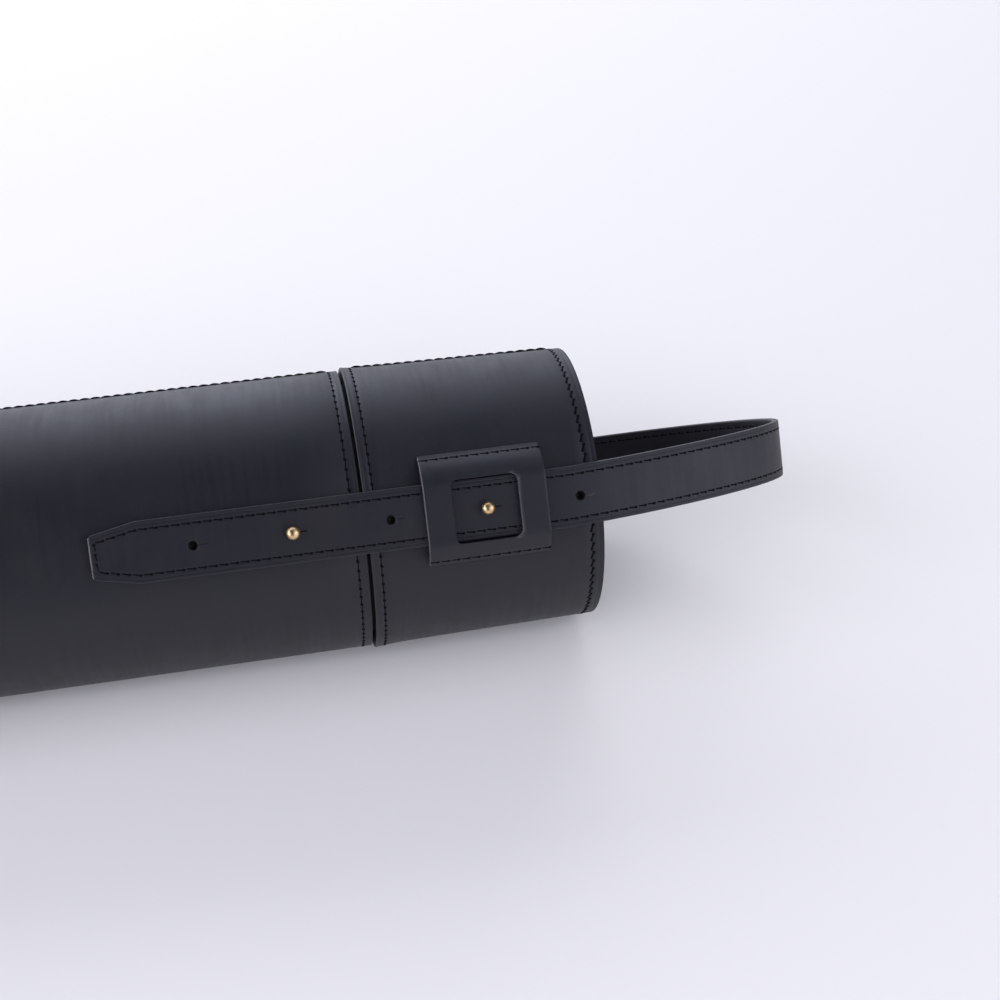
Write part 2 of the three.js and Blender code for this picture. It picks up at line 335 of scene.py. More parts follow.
# Meshes
def build(name, vertices, faces, slot, sharp=38, edge=None):
    """A smooth-shaded piece; edge(point) gives how pale the leather is at a point, from burnish or a
    painted highlight, or below 0 how dark its painted shade is.
    """
    mesh = bpy.data.meshes.new(name)
    mesh.from_pydata([tuple(vertex) for vertex in vertices], [], faces)
    work = bmesh.new()
    work.from_mesh(mesh)
    bmesh.ops.remove_doubles(work, verts=work.verts, dist=1e-7)
    bmesh.ops.recalc_face_normals(work, faces=work.faces)
    work.to_mesh(mesh)
    work.free()
    piece = bpy.data.objects.new(name, mesh)
    bpy.context.scene.collection.objects.link(piece)
    finish_mesh(piece, slot, sharp, edge)
    return piece


def finish_mesh(piece, slot, sharp, edge):
    mesh = piece.data
    mesh.shade_smooth()
    mesh.set_sharp_from_angle(angle=math.radians(sharp))
    if edge:
        layer = mesh.attributes.new("edge", "FLOAT", "POINT")
        layer.data.foreach_set("value", [edge(vertex.co) for vertex in mesh.vertices])
    mesh.materials.clear()
    mesh.materials.append(MATERIALS[slot])


def grid_faces(rows, columns, wrap_rows=False, wrap_columns=False, start=0):
    faces = []
    for row in range(rows if wrap_rows else rows - 1):
        for column in range(columns if wrap_columns else columns - 1):
            a = start + row * columns + column
            b = start + row * columns + (column + 1) % columns
            c = start + ((row + 1) % rows) * columns + (column + 1) % columns
            d = start + ((row + 1) % rows) * columns + column
            faces.append((a, b, c, d))
    return faces


def filleted(points, radii, steps=4):
    """A closed outline with each corner rounded to its radius."""
    outline = []
    count = len(points)
    for index, (point, radius) in enumerate(zip(points, radii)):
        corner = Vector(point)
        before = Vector(points[index - 1]) - corner
        after = Vector(points[(index + 1) % count]) - corner
        if radius <= 0:
            outline.append(corner)
            continue
        reach = min(radius, 0.49 * before.length, 0.49 * after.length)
        first = corner + before.normalized() * reach
        last = corner + after.normalized() * reach
        for step in range(steps + 1):
            t = step / steps
            outline.append(first * (1 - t) ** 2 + corner * 2 * t * (1 - t) + last * t ** 2)
    return outline


def groove(centre, half_width, depth, radius_at):
    """Profile points of a pressed line round the tube."""
    steps = [(-1.0, 0.0), (-0.45, 0.75), (0.0, 1.0), (0.45, 0.75), (1.0, 0.0)]
    return [(centre + half_width * t, radius_at(centre + half_width * t) - depth * d) for t, d in steps]


SEAM_OFFSETS = (0.15, 0.35, 0.6, 0.95, 1.5, 2.4)


def tube_angles(count, radius, seam):
    angles = [2 * math.pi * index / count for index in range(count)]
    if seam:
        near = [sign * offset / radius for offset in SEAM_OFFSETS for sign in (-1, 1)]
        angles = [a for a in angles if abs(a - SEAM_ANGLE) > 3.2 / radius]
        angles = sorted(angles + [SEAM_ANGLE] + [SEAM_ANGLE + offset for offset in near])
    return angles


def turned(name, profile, slot, edge=None, seam=False, count=180):
    """A piece turned about the tube's axis from closed [x, radius] points, with an optional long seam."""
    angles = tube_angles(count, RADIUS, seam)
    skin = max(radius for _, radius in profile) - 1.9
    vertices = []
    for angle in angles:
        away = (angle - SEAM_ANGLE) * RADIUS
        pinch = 0.0
        if seam and abs(away) < 5:
            pinch = 0.55 * math.exp(-((away / 0.32) ** 2)) - 0.22 * math.exp(-((away / 1.7) ** 2))
        for x, radius in profile:
            vertices.append(on_tube(x, angle, radius - (pinch if radius > skin else 0)))
    faces = grid_faces(len(angles), len(profile), wrap_rows=True, wrap_columns=True)
    return build(name, vertices, faces, slot, edge=edge)


def stations(start, end, count):
    return [start + (end - start) * index / (count - 1) for index in range(count)]


def shell_profile(mouth, far, inner, radius_at, marks, steps=26):
    """A shell's wall: rounded rims, pressed lines at the marks, and stations between them."""
    low, high = sorted((mouth, far))
    outer = []
    for centre, half_width, depth in sorted(marks):
        outer += groove(centre, half_width, depth, radius_at)
    gaps = [b[0] - a[0] for a, b in zip(outer, outer[1:])]
    widest = gaps.index(max(gaps))
    between = stations(outer[widest][0], outer[widest + 1][0], steps)[1:-1]
    outer[widest + 1:widest + 1] = [(x, radius_at(x)) for x in between]
    corners = [(low, radius_at(low)), (low, inner), (high, inner), (high, radius_at(high))]
    rims = filleted(corners, (0.6, 0.5, 0.5, 0.6))
    per_corner = 5
    start_rim = [tuple(p) for p in rims[:2 * per_corner]]
    end_rim = [tuple(p) for p in rims[2 * per_corner:]]
    # from the low rim's inside round the high rim to the outside, then back along the outside
    return start_rim + end_rim + [tuple(p) for p in reversed(outer)]


def rim_burnish_highlight_and_shade(x_low, x_high):
    """Burnished outer corners on a shell, paled also as a painted highlight, and painted shade darkening
    the end faces inside them to near black.
    """
    def edge_tone(point):
        x, across, out = tube_place(point)
        nearest = min(x - x_low, x_high - x)
        # painted shade: the end faces in the joint and inside the rims go near black
        if math.hypot(across, out) < RADIUS - 0.6 and nearest < 0.4:
            return -1.0
        # the pale corners: burnish and painted highlight
        return 0.18 * (1 - smoothstep(nearest, 0.1, 0.6))
    return edge_tone


def cap_radius(x):
    """The cap tapers towards its end and flares a little at its mouth."""
    taper = (CAP_END_RADIUS - CAP_MOUTH_RADIUS) * x / CAP_LENGTH
    return CAP_MOUTH_RADIUS + taper + CAP_FLARE * math.exp(-x / 7)


def make_shells():
    end = -BODY_LENGTH
    marks = [(-CREASE, 0.35, 0.08), (-RING_STITCHES, 0.75, 0.22),
             (end + CREASE, 0.35, 0.08), (end + RIM_STITCHES, 0.75, 0.22)]
    profile = shell_profile(-GAP, end, RADIUS - LEATHER, lambda x: RADIUS, marks)
    body = turned("body_leather", profile, "leather", rim_burnish_highlight_and_shade(end, -GAP), seam=True)
    ride(body, "tube", "body_shell")

    marks = [(CREASE, 0.35, 0.08), (RING_STITCHES, 0.75, 0.22),
             (CAP_LENGTH - CREASE, 0.35, 0.1), (CAP_LENGTH - RIM_STITCHES, 0.75, 0.22)]
    profile = shell_profile(GAP, CAP_LENGTH, RADIUS - 3.8, cap_radius, marks)
    cap = turned("cap_leather", profile, "leather", rim_burnish_highlight_and_shade(GAP, CAP_LENGTH), seam=True)
    ride(cap, "cap", "cap_shell")


def ride(piece, body, *nodes):
    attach(piece, body)
    if nodes:
        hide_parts(*nodes)


def plain_tube(name, x0, x1, inner, outer, slot, body, node):
    corners = [(x0, inner), (x0, outer), (x1, outer), (x1, inner)]
    profile = [tuple(p) for p in filleted(corners, (0.4, 0.5, 0.5, 0.4))]
    ride(turned(name, profile, slot, rim_burnish_highlight_and_shade(x0, x1)), body, node)


def end_pan(name, x, inwards, outer, body, node):
    """A domed leather end whose flange is sewn inside the shell, creased round its edge."""
    lip = x + inwards * FLANGE
    inside = x + inwards * LEATHER
    flange_inner = outer - 2.5
    face = [(x - inwards * 0.5, 0.02), (x - inwards * 0.48, 12), (x - inwards * 0.4, 24),
            (x - inwards * 0.25, 38), (x - inwards * 0.1, 46), (x, 48.4), (x + inwards * 0.25, 48.9),
            (x, 49.4)]
    corners = [(x, outer), (lip, outer), (lip, flange_inner), (inside, flange_inner)]
    rim = filleted(corners, (1.6, 0.4, 0.4, 1.2))
    profile = face + [tuple(p) for p in rim] + [(inside, 20.0), (inside, 0.02)]
    ride(turned(name, profile, "leather"), body, node)


def make_insides():
    base_face = -BODY_LENGTH + END_RECESS
    cap_face = CAP_LENGTH - END_RECESS
    mouth = GAP + MOUTH_STEP
    plain_tube("inner_tube", base_face + FLANGE + FIT, -mouth, CORE_OUTER - WALL, CORE_OUTER, "board",
               "tube", "body_core")
    plain_tube("neck", -NECK_IN, NECK_OUT, NECK_INNER, NECK_OUTER, "lining", "tube", "neck_sleeve")
    plain_tube("cap_lining", mouth, cap_face - FLANGE - FIT, LINER_INNER, LINER_OUTER, "lining", "cap",
               "cap_liner")
    end_pan("base_end", base_face, 1, CORE_OUTER, "tube", "base_disc")
    end_pan("cap_end", cap_face, -1, LINER_OUTER, "cap", "cap_disc")
    for node, slot in (("base_board", "board"), ("cap_board", "board")):
        finish_node(node, slot)


def finish_node(node, slot):
    mesh = frame["nodes"][node].data
    mesh.materials.clear()
    mesh.materials.append(MATERIALS[slot])


# Stitches: how far along each ring of a thread lies, and its share of the thread's full width.
SADDLE = [(0.0, 1.0), (0.07, 0.95), (0.13, 0.7), (0.18, 0.26), (0.5, 0.3), (0.82, 0.26), (0.87, 0.7),
          (0.93, 0.95), (1.0, 1.0)]
DASH = [(0.0, 0.4), (0.05, 0.9), (0.15, 1.0), (0.3, 0.68), (0.5, 0.58), (0.7, 0.68), (0.85, 1.0),
        (0.95, 0.9), (1.0, 0.4)]
COMMA = [(0.0, 0.25), (0.1, 0.48), (0.35, 0.56), (0.58, 0.48), (0.68, 0.62), (0.76, 0.95), (0.85, 1.0),
         (0.94, 0.8), (1.0, 0.3)]
ROPE = [(0.0, 0.5), (0.08, 0.75), (0.2, 0.93), (0.35, 1.0), (0.5, 1.0), (0.65, 1.0), (0.8, 0.93),
        (0.92, 0.75), (1.0, 0.5)]
STITCH_SIDES = 8


def stitch_style(rings, length, width, rise, tilt=0.0, sway=0.0, plump=0.5):
    """How a thread looks: its size and sway in millimetres, tilt in degrees, and height over width."""
    return {"rings": rings, "length": length, "width": width, "rise": rise, "tilt": math.radians(tilt),
            "sway": sway, "plump": plump}


RING_STITCH = stitch_style(SADDLE, 4.35, 1.45, 0.05, sway=0.12)
RIM_STITCH = stitch_style(DASH, 4.1, 1.3, 0.12, tilt=-22)
SEAM_STITCH = stitch_style(ROPE, 5.2, 1.6, 0.15, tilt=5, plump=1.0)
STRAP_STITCH = stitch_style(COMMA, 4.0, 1.3, 0.08, tilt=-6)
TIP_STITCH = stitch_style(COMMA, 4.0, 1.25, 0.2, tilt=10)
KEEPER_STITCH = stitch_style(COMMA, 4.2, 1.5, 0.12, tilt=-3)


def stitch(centre, along, normal, style):
    """One thread float between two flat awl holes that it dives into."""
    along = Matrix.Rotation(style["tilt"], 3, normal) @ along
    side = normal.cross(along)
    vertices = []
    for t, swell in style["rings"]:
        lift = style["rise"] * math.sin(math.pi * t) - 0.08
        aside = style["sway"] * math.sin(2 * math.pi * t)
        middle = centre + MM * (along * style["length"] * (t - 0.5) + normal * lift + side * aside)
        for corner in range(STITCH_SIDES):
            turn = 2 * math.pi * corner / STITCH_SIDES
            ply = 1 + 0.12 * math.cos(2 * turn - 7 * t)
            spoke = side * math.cos(turn) + style["plump"] * normal * math.sin(turn)
            vertices.append(middle + MM * spoke * (style["width"] / 2) * swell * ply)
    return vertices


def stitch_faces(start):
    faces = grid_faces(len(SADDLE), STITCH_SIDES, wrap_columns=True, start=start)
    last = start + (len(SADDLE) - 1) * STITCH_SIDES
    faces.append(tuple(range(start + STITCH_SIDES - 1, start - 1, -1)))
    faces.append(tuple(range(last, last + STITCH_SIDES)))
    return faces


def sew(name, spots):
    """A row of stitches from (centre, along, normal, style) spots."""
    vertices, faces = [], []
    for spot in spots:
        faces += stitch_faces(len(vertices))
        vertices += stitch(*spot)
    return build(name, vertices, faces, "thread", sharp=80)


def ring_spots(x, radius, style):
    count = round(2 * math.pi * radius / PITCH)
    spots = []
    for index in range(count):
        angle = SEAM_ANGLE + 2 * math.pi * (index + 0.5) / count
        normal = (on_tube(0, angle, 1) - on_tube(0, angle, 0)).normalized()
        spots.append((on_tube(x, angle, radius - 0.12), ALONG.cross(normal), normal, style))
    return spots


def seam_spots(start, end, radius_at):
    count = round(abs(end - start) / SEAM_PITCH)
    normal = (on_tube(0, SEAM_ANGLE, 1) - on_tube(0, SEAM_ANGLE, 0)).normalized()
    spots = []
    for index in range(count):
        x = start + (end - start) * (index + 0.5) / count
        spots.append((on_tube(x, SEAM_ANGLE, radius_at(x)), ALONG, normal, SEAM_STITCH))
    return spots


def make_tube_stitches():
    body = ring_spots(-RING_STITCHES, RADIUS, RING_STITCH)
    body += ring_spots(-BODY_LENGTH + RIM_STITCHES, RADIUS, RIM_STITCH)
    body += seam_spots(-BODY_LENGTH + 6.5, -5.6, lambda x: RADIUS)
    ride(sew("body_stitches", body), "tube")
    cap = ring_spots(RING_STITCHES, cap_radius(RING_STITCHES), RING_STITCH)
    rim_x = CAP_LENGTH - RIM_STITCHES
    cap += ring_spots(rim_x, cap_radius(rim_x), RIM_STITCH)
    cap += seam_spots(5.6, CAP_LENGTH - 6, cap_radius)
    ride(sew("cap_stitches", cap), "cap")


# Strap
def bezier(a, b, c, d, count):
    points = []
    for index in range(count):
        t = index / (count - 1)
        points.append(a * (1 - t) ** 3 + b * 3 * t * (1 - t) ** 2 + c * 3 * t * t * (1 - t) + d * t ** 3)
    return points


def loop_path():
    """The handle's centre line in the plane of x and out, from the front keeper to the back keeper."""
    tube_handle = 0.4 * (LOOP_REACH - LOOP_START)
    tip_handle = 0.5 * STRAP_MIDDLE
    tip = Vector((LOOP_REACH, LOOP_LEAN))
    halves = []
    for sign in (1, -1):
        start = Vector((LOOP_START, sign * STRAP_MIDDLE))
        leaving = start + Vector((tube_handle, 0))
        half = bezier(start, leaving, tip + Vector((0, sign * tip_handle)), tip, 44)
        arm = [Vector((x, sign * STRAP_MIDDLE)) for x in stations(HANDLE_END, LOOP_START, 20)[:-1]]
        halves.append(arm + half)
    return halves[0] + halves[1][-2::-1]


def arm_path(start, end):
    count = max(4, round(abs(end - start) / 1.2))
    return [Vector((x, STRAP_MIDDLE)) for x in stations(start, end, count)]


def half_width_at(x):
    taper = min(1.0, max(0.0, (TAPER_X - x) / (TAPER_X - TIP_X)))
    return HALF_WIDTH + (TIP_HALF_WIDTH - HALF_WIDTH) * taper


# The strap's face is flat between its stitch rows, with extra columns across where the buttonholes are.
STRAP_COLUMNS = (0.0, 1.3, 2.6, 3.9)
# Distance in from the edge and height above the underside, from the face round the edge to the
# underside: stitch groove, crease, bevel, ply line, bevel, groove.
STRAP_EDGE = [
    (4.4, 3.0), (3.95, 2.98), (3.7, 2.88), (3.4, 2.84), (3.1, 2.88), (2.85, 2.98), (1.8, 3.0),
    (1.6, 2.93), (1.45, 2.86), (1.3, 2.93), (1.1, 3.0), (0.3, 2.96), (0.09, 2.84), (0.0, 2.62),
    (0.0, 1.72), (0.13, 1.58), (0.13, 1.48), (0.0, 1.34), (0.0, 0.8), (0.15, 0.4), (0.5, 0.1),
    (1.0, 0.02), (1.6, 0.0), (2.85, 0.0), (3.4, 0.12), (3.95, 0.0)]


def strap_section(half_width, squeeze=1.0, shrink=0.0):
    """(across, height from the middle) round the strap; squeeze and shrink round off an end."""
    right = [(across, STRAP_THICKNESS) for across in STRAP_COLUMNS]
    right += [(half_width - shrink - inset, height) for inset, height in STRAP_EDGE]
    right += [(across, 0.0) for across in reversed(STRAP_COLUMNS)]
    left = [(-across, height) for across, height in right[-2:0:-1]]
    return [(across, (height - STRAP_THICKNESS / 2) * squeeze) for across, height in right + left]


def sweep(path, round_start=False):
    """The strap's section swept along path, in order of rising x on the front arm."""
    rows = []
    count = len(path)
    for index, point in enumerate(path):
        tangent = (path[min(index + 1, count - 1)] - path[max(index - 1, 0)]).normalized()
        rows.append((point, tangent, 1.0, 0.0))
    if round_start:
        point, tangent, _, _ = rows.pop(0)
        rounding = ((0.9, 1.0, 0.15), (0.45, 0.93, 0.45), (0.12, 0.78, 0.85), (0.0, 0.5, 1.2))
        for back, squeeze, shrink in rounding:
            rows.insert(0, (point + tangent * back, tangent, squeeze, shrink))
    vertices = []
    for point, tangent, squeeze, shrink in rows:
        outwards = Vector((-tangent.y, tangent.x))
        for across, lift in strap_section(half_width_at(point.x), squeeze, shrink):
            spot = point + outwards * lift
            vertices.append((spot.x, across + loop_rise(point.x), spot.y))
    columns = len(strap_section(HALF_WIDTH))
    faces = grid_faces(len(rows), columns, wrap_columns=True)
    faces.append(tuple(range(columns)))
    faces.append(tuple(range(len(vertices) - 1, len(vertices) - columns - 1, -1)))
    return vertices, faces


def loop_rise(x):
    return LOOP_RISE * max(0.0, (x - LOOP_START) / (LOOP_REACH - LOOP_START))


# How far a buttonhole's mouth is opened out at the strap's face.
HOLE_BEVEL = 0.35


def keyhole(x, side_out):
    """A cutter for a round buttonhole with a short slit towards the handle.

    It is bevelled outside and closes in below, onto the neck of a stud or, without one, to a small hole.
    """
    over_stud = min(abs(x - stud_x) for stud_x in STUD_PLACES) < 1
    bottom = STUD["neck"] + 0.1 if over_stud else 0.25 * HOLE_RADIUS
    slit = 0.2 if over_stud else 0.09
    mouth = HOLE_RADIUS + HOLE_BEVEL
    levels = [(STRAP_TOP + 1, mouth, slit), (STRAP_TOP, mouth, slit),
              (STRAP_TOP - 0.35, HOLE_RADIUS, 0.8 * slit), (STRAP_TOP - 0.9, HOLE_RADIUS, 0.7 * slit),
              (STRAP_BOTTOM, bottom, 0.5 * slit), (STRAP_BOTTOM - 1, bottom, 0.5 * slit)]
    steps = 32
    vertices = []
    for level, radius, half_slit in levels:
        start = math.asin(half_slit / radius)
        for index in range(steps + 1):
            angle = start + (2 * math.pi - 2 * start) * index / steps
            vertices.append((x + radius * math.cos(angle), radius * math.sin(angle), side_out * level))
        for across in (-half_slit, half_slit):
            vertices.append((x + HOLE_RADIUS + SLIT, across, side_out * level))
    count = steps + 3
    faces = grid_faces(len(levels), count, wrap_columns=True)
    faces += [tuple(range(count)), tuple(range(len(vertices) - 1, len(vertices) - count - 1, -1))]
    return vertices, faces


def strap_burnish_highlight_and_shade(point):
    """Burnished long edges; a tip burnished and painted fully pale as a painted highlight; painted shade
    deep in the buttonholes, with a painted glint on their bevels.
    """
    x, across, out = tube_place(point)
    for hole in HOLES:
        near_hole = math.hypot(x - hole, across) < HOLE_RADIUS + 0.01 or (
            abs(across) < 0.2 and 0 < x - hole < HOLE_RADIUS + SLIT + 0.01)
        # painted shade deep in a buttonhole, and a painted glint on its bevel just under the face
        if near_hole and abs(out) < STRAP_TOP - 0.3:
            return -1.0 if abs(out) < STRAP_TOP - 0.6 else 0.3
    across = abs(abs(across) - loop_rise(x))
    edge_tone = 0.2 * (1 - smoothstep(half_width_at(x) - across, 0.0, 0.35))
    # the tip: burnish and a painted highlight, fully pale
    return max(edge_tone, 1 - smoothstep(x - TIP_X, 0.0, 1.0))


def strap_piece(name, path, holes, side=1, round_start=False):
    """A stretch of strap with its buttonholes cut through; holes are (x, side of the tube) pairs."""
    vertices, faces = sweep(path, round_start)
    piece = build(name, [place(*vertex, side) for vertex in vertices], faces, "leather")
    cut_vertices, cut_faces = [], []
    for hole, hole_side in holes:
        hole_vertices, hole_faces = keyhole(hole, hole_side)
        first = len(cut_vertices)
        cut_faces += [tuple(first + corner for corner in face) for face in hole_faces]
        cut_vertices += [place(*vertex, side) for vertex in hole_vertices]
    if holes:
        cut_out(piece, cut_vertices, cut_faces)
    finish_mesh(piece, "leather", 38, strap_burnish_highlight_and_shade)
    return piece


def cut_out(piece, vertices, faces):
    """Takes the closed cutter away from the piece and keeps the result as its mesh."""
    cutter = build("cutter", vertices, faces, "leather")
    modifier = piece.modifiers.new("holes", "BOOLEAN")
    modifier.operation = "DIFFERENCE"
    modifier.solver = "EXACT"
    modifier.object = cutter
    depsgraph = bpy.context.evaluated_depsgraph_get()
    result = bpy.data.meshes.new_from_object(piece.evaluated_get(depsgraph))
    piece.modifiers.clear()
    piece.data = result
    bpy.data.objects.remove(cutter)


def strap_row(path, inset, face, side=1):
    """Stitches along path, inset from both edges; face 1 is the strap's outside and -1 its underside."""
    reach = [0.0]
    for a, b in zip(path, path[1:]):
        reach.append(reach[-1] + (b - a).length)

    def point_at(distance):
        index = 0
        while index < len(reach) - 2 and reach[index + 1] < distance:
            index += 1
        a, b = path[index], path[index + 1]
        t = (distance - reach[index]) / (reach[index + 1] - reach[index])
        return a + (b - a) * t, (b - a).normalized()

    def spot_at(distance, edge):
        point, tangent = point_at(distance)
        outwards = Vector((-tangent.y, tangent.x))
        spot = point + outwards * face * (STRAP_THICKNESS / 2 - THREAD_SINK)
        across = edge * (half_width_at(point.x) - inset) + loop_rise(point.x)
        return place(spot.x, across, spot.y, side), outwards

    count = round(reach[-1] / PITCH)
    spots = []
    for edge in (-1, 1):
        for index in range(count):
            distance = reach[-1] * (index + 0.5) / count
            centre, outwards = spot_at(distance, edge)
            ahead, _ = spot_at(distance + 0.5, edge)
            behind, _ = spot_at(distance - 0.5, edge)
            normal = face * side * (outwards.x * side * ALONG + outwards.y * OUT)
            along = (ahead - behind).normalized()
            spots.append((centre, along, normal, STRAP_STITCH))
    return spots


def tip_row(side):
    """Stitches across the strap's cut-off tip."""
    count = 3
    spots = []
    for face, level in ((1, STRAP_TOP - THREAD_SINK), (-1, STRAP_BOTTOM + THREAD_SINK)):
        for index in range(count):
            across = (index - (count - 1) / 2) * TIP_PITCH
            centre = place(TIP_X + TIP_STITCHES, across, level, side)
            spots.append((centre, ACROSS * side, OUT * side * face, TIP_STITCH))
    return spots


def make_strap():
    path = loop_path()
    holes = [(x, out) for x in HOLES if x > HANDLE_END for out in (1, -1)]
    handle = strap_piece("handle", path, holes)
    ride(handle, "cap", "strap_handle")
    rows = strap_row(path, STRAP_STITCHES, 1) + strap_row(path, STRAP_STITCHES, -1)
    ride(sew("handle_stitches", rows), "cap")
    for label, side in SIDES.items():
        bend_path = arm_path(BEND_SPLIT, HANDLE_END)
        bend_holes = [(x, 1) for x in HOLES if BEND_SPLIT < x < HANDLE_END]
        bend = strap_piece(f"{label}_bend", bend_path, bend_holes, side)
        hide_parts(f"{label}_strap_bend")
        rows = strap_row(bend_path, STRAP_STITCHES, 1, side)
        rows += strap_row(bend_path, STRAP_STITCHES, -1, side)
        for piece in (bend, sew(f"{label}_bend_stitches", rows)):
            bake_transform(piece)

        tail_path = arm_path(TIP_X, BEND_SPLIT)
        tail_holes = [(x, 1) for x in HOLES if x < BEND_SPLIT]
        tail = strap_piece(f"{label}_tail", tail_path, tail_holes, side, True)
        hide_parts(f"{label}_strap_tail")
        row_path = arm_path(TIP_X + TIP_STITCHES, BEND_SPLIT)
        rows = strap_row(row_path, STRAP_STITCHES, 1, side)
        rows += strap_row(row_path, STRAP_STITCHES, -1, side)
        rows += tip_row(side)
        for piece in (tail, sew(f"{label}_tail_stitches", rows)):
            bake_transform(piece)


# Keepers
def rounded_rectangle(x0, x1, upper, lower, radii, per_side=16, per_corner=6):
    """(x, across) points round a rectangle, the same number whatever its size."""
    corners = [(x1, upper, 0), (x0, upper, 90), (x0, -lower, 180), (x1, -lower, 270)]
    outline = []
    arcs = []
    for (x, across, first), radius in zip(corners, radii):
        centre = (x - math.copysign(radius, x - (x0 + x1) / 2), across - math.copysign(radius, across))
        angles = [math.radians(first + 90 * step / (per_corner - 1)) for step in range(per_corner)]
        arcs.append([Vector((centre[0] + radius * math.cos(a), centre[1] + radius * math.sin(a)))
                     for a in angles])
    for index, arc in enumerate(arcs):
        outline += arc
        following = arcs[(index + 1) % 4][0]
        outline += [arc[-1] + (following - arc[-1]) * step / per_side for step in range(1, per_side)]
    return outline


def keeper_thickness(across):
    """The sewn edges are skived thin."""
    skived = smoothstep(abs(across), KEEPER["upper"] - 5.5, KEEPER["upper"])
    return KEEPER["thickness"] - KEEPER["skived"] * skived


def eased(value, low, high, ease=0.1):
    """A straight slope from 0 to 1 with its two ends rounded off."""
    t = min(1.0, max(0.0, (value - low) / (high - low)))
    if t < ease:
        return t * t / (2 * ease * (1 - ease))
    if t > 1 - ease:
        return 1 - (1 - t) ** 2 / (2 * ease * (1 - ease))
    return (t - ease / 2) / (1 - ease)


def keeper_top(x, across):
    """Height of the keeper's face: over the strap in the middle, down on the cap at its sewn edges."""
    across = abs(across)
    follow = math.sqrt((cap_radius(x) + 0.15 + keeper_thickness(across)) ** 2 - across ** 2)
    bridge = STRAP_TOP + 0.15 + KEEPER["thickness"]
    return bridge + (follow - bridge) * eased(across, 12.0, KEEPER["upper"])


def keeper_normal(x, across, side):
    step = 0.3
    slope_x = (keeper_top(x + step, across) - keeper_top(x - step, across)) / (2 * step)
    slope_y = (keeper_top(x, across + step) - keeper_top(x, across - step)) / (2 * step)
    return (OUT * side - ALONG * slope_x - ACROSS * side * slope_y).normalized()


def keeper_section(width):
    """(distance from the window, share of the thickness) round a bar of the frame."""
    top = [(0.0, 0.2), (0.0, 0.72), (0.12, 0.9), (0.4, 1.0)]
    top += [(0.4 + (width - 2.3) * step / 9, 1.0) for step in range(1, 9)]
    top += [(width - 1.9, 1.0), (width - 1.1, 1.0), (width - 0.6, 0.98), (width - 0.3, 0.93),
            (width - 0.1, 0.84), (width, 0.7), (width, 0.14), (width - 0.3, 0.0)]
    bottom = [(width - 0.3 - (width - 0.6) * step / 7, 0.0) for step in range(1, 7)]
    return top + bottom + [(0.3, 0.0)]


def make_keepers():
    inner = rounded_rectangle(KEEPER["window_left"], KEEPER["window_right"], KEEPER["window_half"],
                              KEEPER["window_half"], (KEEPER["corner"], 2.4, 1.8, KEEPER["corner"]))
    outer = rounded_rectangle(KEEPER["left"], KEEPER["right"], KEEPER["upper"], KEEPER["lower"],
                              (1.2, 1.0, 1.0, 1.2))
    for label, side in SIDES.items():
        vertices = []
        for near, far in zip(inner, outer):
            direction = (far - near).normalized()
            for distance, share in keeper_section((far - near).length):
                x, across = near + direction * distance
                level = keeper_top(x, across) - (1 - share) * keeper_thickness(across)
                vertices.append(place(x, across, level, side))
        faces = grid_faces(len(inner), len(keeper_section(10)), wrap_rows=True, wrap_columns=True)
        keeper = build(f"{label}_keeper_leather", vertices, faces, "leather", edge=keeper_painted_highlight)
        ride(keeper, "cap", f"{label}_keeper")

        spots = []
        count = 12
        for across in (KEEPER["upper"] - KEEPER["stitches"], KEEPER["stitches"] - KEEPER["lower"]):
            for index in range(count):
                x = KEEPER["left"] + (KEEPER["right"] - KEEPER["left"]) * (index + 0.5) / count
                normal = keeper_normal(x, across, side)
                centre = place(x, across, keeper_top(x, across) - 0.08, side)
                spots.append((centre, ALONG, normal, KEEPER_STITCH))
        ride(sew(f"{label}_keeper_stitches", spots), "cap")


def keeper_painted_highlight(point):
    """Painted highlight: pale along the left end and round the right end of the window, the edges that
    face the bright left of the room.
    """
    x, across, _ = tube_place(point)
    corner_x = max(0.0, x - KEEPER["window_right"] + KEEPER["corner"])
    corner_across = max(0.0, abs(across) - KEEPER["window_half"] + KEEPER["corner"])
    window = abs(math.hypot(corner_x, corner_across) - KEEPER["corner"])
    pale = min(window, x - KEEPER["left"]) if corner_x > 0.3 else x - KEEPER["left"]
    return 0.9 * (1 - smoothstep(pale, 0.1, 0.5))


# Studs
def revolved(name, x, profile, side, slot, count=40):
    """A small piece turned about the line out through the strap at x, from (radius, height) points."""
    vertices = []
    for index in range(count):
        angle = 2 * math.pi * index / count
        for radius, height in profile:
            vertices.append(place(x + radius * math.cos(angle), radius * math.sin(angle), height, side))
    faces = grid_faces(count, len(profile), wrap_rows=True)
    return build(name, vertices, faces, slot, sharp=50)


def ball_profile(surface, shank_end):
    """From the middle of the hollow shank, up round the flange and neck, and over the ball."""
    flange = STUD["flange"]
    flange_top = surface - 0.1
    profile = [(0.0, surface - 1.6), (1.35, surface - 1.6), (1.35, shank_end), (2.0, shank_end),
               (2.0, surface - 1.0), (flange - 0.2, surface - 1.0), (flange, surface - 0.8),
               (flange, flange_top - 0.2), (flange - 0.25, flange_top),
               (2.0, flange_top + 0.1), (STUD["neck"], flange_top + 0.5)]
    start = math.asin(STUD["neck"] / STUD["ball"])
    steps = 16
    for step in range(steps + 1):
        angle = start + (math.pi - start) * step / steps
        radius = 0.0 if step == steps else STUD["ball"] * math.sin(angle)
        profile.append((radius, STUD["height"] - STUD["ball"] * math.cos(angle)))
    return profile


